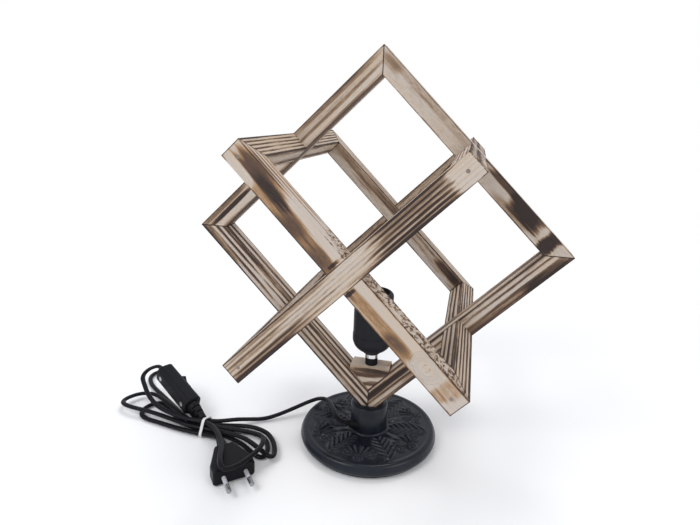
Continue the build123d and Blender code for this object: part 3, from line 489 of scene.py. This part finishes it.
def wood(name, centre, along, out, thick, seed, pith=(30.0, 8.0), ring=3.4, wobble=3.0, stripe=0.7,
         toast=0.1, blotch=0.3, grey=0.4, edge=0.6, tan=TAN, spots=(), frayed=None, knot=None,
         mitred=True):
    """Scorched batten. Its frame, in mm: a along it, w outward from the square, t across its thickness.

    pith and ring place the growth rings, wobble bends them and stripe darkens them. toast is
    scorch all over, blotch in streaks and edge on the arrises. A spot of negative darkness keeps
    the wood pale there. frayed is (axis, side, start, end) of a torn face and knot (a, w, t, size).
    """
    n = material(name)
    p = n.millimetres(centre)
    place = a, w, t = [p.dot(tuple(v)) for v in (along, out, thick)]
    sway = streaks(n, place, seed * 3.7, 0.012, 0.05, 2.0) - 0.5
    band = streaks(n, place, seed * 1.3, 0.02, 0.32, 3.0, 0.55)
    fine = streaks(n, place, seed * 2.1, 0.16, 2.4, 3.0, 0.6)
    mottle = streaks(n, place, seed * 4.3, 0.16, 0.55, 4.0, 0.65)
    line, knotted = growth_rings(n, place, seed, sway, band, pith, ring, wobble, knot)
    height = fine * 0.5 - line * 0.8

    # Scorch: rings, arrises and streaks, then the spots, the knot, the mitres and the torn face
    arris = (w.abs().least(t.abs()) + (fine - 0.5) * 1.6 + (band - 0.5) * 1.6).step(ARRIS_FROM, ARRIS_TO)
    dark = line * stripe + arris * edge + band.step(0.46, 0.76) * blotch
    dark = dark + (fine - 0.5) * 0.26 + (mottle - 0.5) * 0.42 + toast
    ragged = (band - 0.5) * 1.1 + (fine - 0.5) * 0.4 + (mottle - 0.5) * 0.5 + sway * 0.5
    for spot in spots:
        dark = dark + scorched_spot(place, ragged, spot)
    if knot:
        dark = dark + knotted * 0.35
    if mitred:
        dark = dark + (a.abs() - w - MID).abs().step(0.25, 0.9, 0.8, 0.0)
    if frayed:
        face, torn = torn_face(n, place, seed, *frayed)
        dark = dark + torn * 0.62 + face * (fine - 0.5) * 0.3
        height = height - torn * 3.0
    dark = dark.clamped()

    # Colour from pale and grey wood through tan and brown to soot
    greyed = (band + sway * 0.8 + (mottle - 0.5) * 0.4).step(
        0.35, 0.65, max(grey - 0.35, 0.0), min(grey + 0.35, 1.0))
    tone = n.mix(dark.step(0.05, 0.42), n.mix(greyed, PALE, GREY), tan)
    tone = n.mix(dark.step(0.28, 0.66), tone, BROWN)
    tone = n.mix(dark.step(0.60, 1.0), tone, SOOT)
    return n.finish(Base_Color=tone, Roughness=(fine * 0.2 + 0.62).clamped(), Specular_IOR_Level=0.3,
                    Normal=n.bump(height, 0.6, 0.0007))


def round_edges(obj, width):
    mod = obj.modifiers.new("edges", "BEVEL")
    mod.width = width
    mod.segments = 2
    mod.limit_method = "ANGLE"
    mod.angle_limit = radians(40)


BATTENS = {
    # name: along, out, thick, options
    "falling_front": (U, -D, V, dict(
        seed=1, pith=(60.0, 2.0), ring=7.0, wobble=1.0, stripe=0.10, toast=0.02, blotch=0.12, grey=0.75,
        edge=0.5, tan=HONEY, frayed=("t", 1, -30.0, 122.0), knot=(84.0, 9.0, 1.0, 5.0),
        spots=((-88, 9, 3, 27, 9, 6.6, 0.62), (-66, 9, -2, 30, 9, 8.5, 0.30), (-34, 9, -4, 30, 9, 6.5, 0.32),
               (-10, 9, -4, 24, 9, 6.0, 0.24), (-104, 9, -7, 13, 9, 4.5, -0.6), (-40, 9, 8, 46, 9, 4.0, -0.4),
               (-76, 5, 9, 46, 1.3, 3, 0.4), (-72, 0, 9, 50, 1.2, 3, 0.34), (-78, -5, 9, 44, 1.5, 3, 0.34),
               (40, 9, -3, 34, 9, 5.0, 0.34), (62, 9, -5, 14, 9, 4.5, 0.22), (84, 9, 1, 12, 9, 7.5, -0.35),
               (84, 9, 1, 2.6, 9, 1.9, 0.45), (106, 9, 3, 9, 9, 7.0, 0.24),
               (-11.2, 9, 3, 1.5, 9, 8, 0.6), (11.2, 9, -5, 1.5, 9, 5, 0.6), (104, 9, -6, 7, 9, 3.0, 0.25)))),
    "rising_front": (V, -D, U, dict(
        seed=2, pith=(40.0, 30.0), ring=2.1, wobble=0.8, stripe=0.28, toast=0.05, blotch=0.15, grey=0.5,
        edge=0.5,
        spots=((66, 9, 0, 44, 9, 12, 0.10), (10, 9, 0, 26, 9, 12, -0.12), (112, 9, 0, 15, 9, 12, -0.5),
               (-84, 9, 6, 44, 9, 3.6, 0.28), (-90, 9, -3, 30, 9, 2.0, 0.25), (-60, 9, -8, 60, 9, 1.5, 0.3),
               (-92, 9, 7.6, 32, 9, 1.5, 0.6), (-84, 9, 3.4, 38, 9, 0.9, 0.4),
               (66, 9, -8.2, 36, 9, 1.3, 0.75), (62, 9, -4.9, 40, 9, 0.9, 0.75),
               (68, 9, -1.7, 34, 9, 0.9, 0.7), (60, 9, 1.6, 38, 9, 1.0, 0.75),
               (64, 9, 4.9, 38, 9, 1.1, 0.75), (56, 9, 8.2, 46, 9, 1.7, 0.8)))),
    "rising_right_end": (D, V, U, dict(
        seed=3, stripe=0.55, toast=0.05, grey=0.55, frayed=("w", 1, -130.0, 130.0))),
    "rising_left_end": (D, -V, U, dict(seed=4, stripe=0.7, toast=0.15, grey=0.4)),
    "rising_back": (V, D, U, dict(seed=5, stripe=0.4, toast=0.26, blotch=0.5, grey=0.6)),
    "falling_left_end": (D, -U, V, dict(
        seed=6, pith=(40.0, 12.0), ring=3.3, wobble=1.4, stripe=0.62, toast=0.08, blotch=0.2, grey=0.15)),
    "falling_right_end": (D, U, V, dict(
        seed=7, pith=(40.0, 34.0), ring=3.0, wobble=1.0, stripe=0.8, toast=0.08, blotch=0.25, grey=0.2)),
    "falling_back": (U, D, V, dict(
        seed=8, pith=(50.0, 6.0), ring=5.0, wobble=2.0, stripe=0.2, toast=0.10, blotch=0.35, grey=0.8,
        spots=((84, -9, 3, 20, 9, 4.5, 0.6), (-40, -9, 4, 50, 9, 3.5, 0.18),
               (-10, -9, 4, 30, 9, 3.5, 0.12)))),
    "upright_top_left": (V, -U, D, dict(
        seed=9, pith=(14.0, -60.0), ring=6.0, wobble=1.2, stripe=0.15, toast=0.02, blotch=0.2, grey=0.45,
        edge=0.5,
        spots=((52, -1, -9, 62, 1.6, 9, 0.30), (58, 7, -9, 56, 2.4, 9, 0.28), (-84, 1, -9, 32, 2.2, 9, 0.85),
               (-88, 7, -9, 34, 2.6, 9, 0.36), (-70, -9, -3, 44, 3, 7, 0.6), (30, -9, -3, 90, 3, 7, 0.5)))),
    "upright_top_right": (U, V, D, dict(
        seed=10, pith=(10.0, -60.0), ring=6.0, wobble=1.5, stripe=0.10, toast=0.03, blotch=0.16, grey=0.85,
        edge=0.5,
        spots=((-60, 5, -9, 60, 3.0, 9, 0.17), (-104, 3, -9, 12, 5, 9, 0.18), (42, 7, -9, 24, 3.4, 9, 0.7),
               (66, 3, -9, 17, 8, 9, 0.85), (58, -6, -9, 24, 4, 9, 0.22), (97, 0, -9, 6.5, 12, 9, 0.85)))),
    "upright_bottom_right": (V, U, D, dict(
        seed=11, pith=(34.0, 16.0), ring=4.2, wobble=1.4, stripe=0.42, toast=0.12, blotch=0.3, grey=0.6,
        edge=0.55,
        spots=((94, 6, -9, 24, 3.4, 9, 0.55), (50, 5, -9, 44, 3.4, 9, 0.25), (-88, -3, -9, 36, 3.0, 9, 0.75),
               (-20, 5, -9, 50, 4, 9, 0.25), (60, -1, -9, 50, 2.2, 9, -0.25)))),
    "upright_bottom_left": (U, -V, D, dict(
        seed=12, pith=(30.0, 20.0), ring=3.7, wobble=2.4, stripe=0.72, toast=0.08, blotch=0.26, grey=0.6,
        edge=0.6, spots=((-96, 7, -9, 30, 2.2, 9, 0.45), (-30, 0, -9, 26, 5, 9, -0.25)))),
}
for name, (along, out, thick, options) in BATTENS.items():
    obj = NODES[name]
    paint(obj, wood("wood_" + name, Vector((0, 0, FRAME_Z)) + out * MID, along, out, thick, **options))
    round_edges(obj, BATTEN_EDGE)
block = NODES["corner_block"]
paint(block, wood("wood_corner_block", (0.0, 0.0, BLOCK_Z), Vector((1, 0, 0)), Vector((0, 0, 1)), D,
                  seed=13, pith=(-70.0, -4.0), ring=10.0, wobble=3.2, stripe=0.62, toast=0.08,
                  blotch=0.15, grey=0.6, edge=0.2, mitred=False))
round_edges(block, BLOCK_EDGE)


# Cast base, with its leaf relief raised on the dish

LIP_TOP_R, LIP_TOP = 60.4, 12.5
COLUMN_TOP, COLUMN_EDGE = 36.0, 0.8
STEM_HOLE_R = 5.1
HOLLOW_R, HOLLOW_TOP = 12.0, 26.0
SECTORS, SECTOR_STEPS = 16, 40
CARVED_ABOVE = 9.0
CARVED_FROM, CARVED_TO = 19.0, 57.0
CARVING_TURN = radians(58.0)
LEAVES = 6
LEAF_START, LEAF_LENGTH, LEAF_HALF = 17.0, 39.0, 9.5
VEIN_PITCH = 6.2
FAN_R, FAN_REACH, FAN_PITCH, FAN_SPREAD = 52.0, 11.5, radians(19.0), radians(62.0)
BEAD_R, BEAD_TURN = 47.5, radians(17.5)


def arc(p0, p1, p2, count):
    """Points on the circle through three points, from the first to the last."""
    (x0, y0), (x1, y1), (x2, y2) = p0, p1, p2
    d = 2 * (x0 * (y1 - y2) + x1 * (y2 - y0) + x2 * (y0 - y1))
    s0, s1, s2 = x0 * x0 + y0 * y0, x1 * x1 + y1 * y1, x2 * x2 + y2 * y2
    cx = (s0 * (y1 - y2) + s1 * (y2 - y0) + s2 * (y0 - y1)) / d
    cy = (s0 * (x2 - x1) + s1 * (x0 - x2) + s2 * (x1 - x0)) / d
    r = sqrt((x0 - cx) ** 2 + (y0 - cy) ** 2)
    a0, a1, a2 = (atan2(y - cy, x - cx) for x, y in (p0, p1, p2))
    turn = (a2 - a0) % (2 * pi)
    if (a1 - a0) % (2 * pi) > turn:
        turn -= 2 * pi
    return [(cx + r * cos(a0 + turn * i / count), cy + r * sin(a0 + turn * i / count))
            for i in range(count + 1)]


def base_profile():
    """(radius, height) of the casting: up the lip, in over the dish, up the column, and the hollow inside."""
    lip = [(61.2, 1.5), (61.2, 2.1)] + arc((61.2, 2.1), (64.5, 5.0), (63.6, 9.6), 8)[1:]
    lip += arc((63.6, 9.6), (62.6, 11.6), (LIP_TOP_R, LIP_TOP), 6)[1:] + [(58.2, LIP_TOP)]
    dish = arc((57.2, 11.9), (40.0, 11.7), (19.4, 10.2), 84)
    column = arc((19.4, 10.2), (18.0, 10.9), (COLUMN_R, 12.3), 5)[1:]
    column += [(COLUMN_R, COLUMN_TOP - COLUMN_EDGE), (COLUMN_R - COLUMN_EDGE, COLUMN_TOP)]
    hollow = [(STEM_HOLE_R, COLUMN_TOP), (STEM_HOLE_R, HOLLOW_TOP), (HOLLOW_R, HOLLOW_TOP)]
    hollow += [(HOLLOW_R, 6.9)] + arc((15.0, 5.9), (40.0, 7.4), (55.6, 7.6), 8) + [(57.0, 1.5)]
    return lip + dish + column + hollow


def bump_at(x, y, cx, cy, rx, ry):
    return exp(-((x - cx) / rx) ** 2 - ((y - cy) / ry) ** 2)


def relief(r, theta):
    """Height of the carving, in mm: six chevron leaves, a fan between each pair, scrolls and beads."""
    if r < CARVED_FROM or r > CARVED_TO:
        return 0.0
    sector = 2 * pi / LEAVES
    q = (theta + sector / 2) % sector - sector / 2
    x, y = r * sin(q), r * cos(q)
    half = LEAF_HALF * sin(pi * min(max((y - LEAF_START) / LEAF_LENGTH, 0.0), 1.0)) ** 0.6
    inside = 1.0 / (1.0 + exp(min((abs(x) - half) * 2.6, 50.0)))
    vein = (0.5 + 0.5 * cos(2 * pi * (y + 1.05 * abs(x)) / VEIN_PITCH)) ** 1.3
    h = inside * (0.3 + 1.15 * vein * (1.0 - 0.7 * exp(-(x / 0.7) ** 2)))
    h += 0.5 * exp(-((abs(x) - half - 0.7) / 0.8) ** 2) * (1.0 if 20 < y < 54 else 0.0)

    # The fan's ribs, the scroll round its root, and the two beads beside each leaf
    p = q - sector / 2 if q > 0 else q + sector / 2
    fx, fy = r * sin(p), FAN_R - r * cos(p)
    reach, lean = sqrt(fx * fx + fy * fy), atan2(fx, fy)
    ribs = (0.5 + 0.5 * cos(2 * pi * lean / FAN_PITCH)) ** 1.2 * exp(-(lean / FAN_SPREAD) ** 6)
    h += 1.25 * ribs * exp(-((reach - FAN_REACH) / 8.0) ** 4)
    h += 0.8 * exp(-((reach - 3.6) / 0.8) ** 2) + 1.1 * exp(-(reach / 1.7) ** 2)
    bx, by = r * sin(abs(q) - BEAD_TURN), r * cos(abs(q) - BEAD_TURN) - BEAD_R
    bead = sqrt(bx * bx + by * by)
    h += 1.4 * exp(-(bead / 1.7) ** 2) + 0.8 * exp(-((bead - 3.6) / 0.7) ** 2)
    h += 0.9 * bump_at(r * sin(p), r * cos(p), 0.0, 25.5, 2.6, 4.5)
    fade = min(max((r - CARVED_FROM) / 3.0, 0.0), 1.0) * min(max((57.2 - r) / 2.0, 0.0), 1.0)
    return 1.15 * h * fade


def satin_black_casting():
    n = material("satin_black_casting")
    at = n.coords()
    sand = n.noise(at, 1500.0, 3.0, 0.6)
    broad = n.noise(at, 60.0, 3.0, 0.55)
    tone = n.mix(broad.step(0.35, 0.65), (0.0055, 0.0075, 0.0125), (0.009, 0.012, 0.019))
    return n.finish(Base_Color=tone, Roughness=(sand - 0.5) * 0.12 + (broad - 0.5) * 0.12 + 0.29,
                    Specular_IOR_Level=0.3, Normal=n.bump(sand, 0.25, 0.00006))


def make_base():
    """The casting spun from its profile, with the dish raised by the relief.

    One sector is spun and then copied round, which is quicker than one full spin.
    """
    bm = bmesh.new()
    outline = [bm.verts.new(metres((r, 0.0, z))) for r, z in base_profile()]
    edges = [bm.edges.new(pair) for pair in zip(outline, outline[1:] + outline[:1])]
    sector = 2 * pi / SECTORS
    bmesh.ops.spin(bm, geom=outline + edges, cent=(0, 0, 0), axis=(0, 0, 1), angle=sector,
                   steps=SECTOR_STEPS)
    bmesh.ops.spin(bm, geom=bm.verts[:] + bm.edges[:] + bm.faces[:], cent=(0, 0, 0), axis=(0, 0, 1),
                   angle=sector * (SECTORS - 1), steps=SECTORS - 1, use_duplicate=True)
    bmesh.ops.remove_doubles(bm, verts=bm.verts, dist=0.000001)
    for vert in bm.verts:
        x, y, z = vert.co * 1000
        if z > CARVED_ABOVE:
            vert.co.z = (z + relief(sqrt(x * x + y * y), atan2(y, x) + CARVING_TURN)) / 1000
    bmesh.ops.recalc_face_normals(bm, faces=bm.faces)
    for face in bm.faces:
        face.smooth = True
    mesh = bpy.data.meshes.new("base_carved")
    bm.to_mesh(mesh)
    bm.free()
    obj = scene_object("base_carved", mesh)
    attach(obj, "lamp")
    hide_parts("base_casting")
    paint(obj, satin_black_casting())


make_base()


# Floor, world and lights

WHITE = (1.0, 1.0, 1.0, 1.0)
FLOOR_WHITE = (0.86, 0.86, 0.86, 1.0)
FLOOR_HALF, FLOOR_DROP = 3.0, 0.0002
FADE_FROM, FADE_TO = 0.10, 0.45
LIGHTS = {
    # name: place, target, diameter, power
    "key": ((-0.9, -1.0, 1.5), (0, 0, 0.15), 0.9, 14.0),
    "fill": ((1.3, -0.7, 1.0), (0, 0, 0.15), 1.2, 7.0),
    "top": ((0.1, 0.6, 1.8), (0, 0, 0.2), 0.7, 8.0),
}


def make_floor():
    """White floor that turns to plain white away from the lamp, by its distance squared."""
    bm = bmesh.new()
    bmesh.ops.create_grid(bm, x_segments=1, y_segments=1, size=FLOOR_HALF)
    mesh = bpy.data.meshes.new("floor")
    bm.to_mesh(mesh)
    bm.free()
    floor = scene_object("floor", mesh)
    floor.location = (0, 0, -FLOOR_DROP)
    n = material("floor_white")
    spot = n.coords()
    far = spot.dot((1.0, 0.0, 0.0)).pow(2.0) + spot.dot((0.0, 1.0, 0.0)).pow(2.0)
    near = far.step(FADE_FROM, FADE_TO, 1.0, 0.0)
    white = n.node("ShaderNodeBsdfPrincipled", 0, {"Base Color": FLOOR_WHITE, "Roughness": 0.75})
    glow = n.node("ShaderNodeEmission", 0, {"Color": WHITE, "Strength": 1.0})
    seen = n.node("ShaderNodeLightPath", "Is Camera Ray")
    paint(floor, n.surface(n.node("ShaderNodeMixShader", 0, [seen * (1.0 - near), white, glow])))
    floor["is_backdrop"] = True


def make_world():
    """White to the camera and a cool grey to the lamp."""
    world = bpy.data.worlds.new("studio")
    bpy.context.scene.world = world
    n = Net(world)
    seen = n.node("ShaderNodeLightPath", "Is Camera Ray")
    sky = n.mix(seen, (0.72, 0.74, 0.78), WHITE[:3])
    n.node("ShaderNodeOutputWorld", None, [n.node("ShaderNodeBackground", 0, {"Color": sky})])


def area_light(name, place, target, size, power):
    data = bpy.data.lights.new(name, "AREA")
    data.shape = "DISK"
    data.size = size
    data.energy = power
    aim = Vector(target) - Vector(place)
    turn = aim.to_track_quat("-Z", "Y").to_matrix().to_4x4()
    scene_object(name, data).matrix_world = Matrix.Translation(place) @ turn


make_floor()
make_world()
for name, setting in LIGHTS.items():
    area_light(name, *setting)
bpy.context.scene.view_settings.view_transform = "Standard"

save_bounds("dressed")
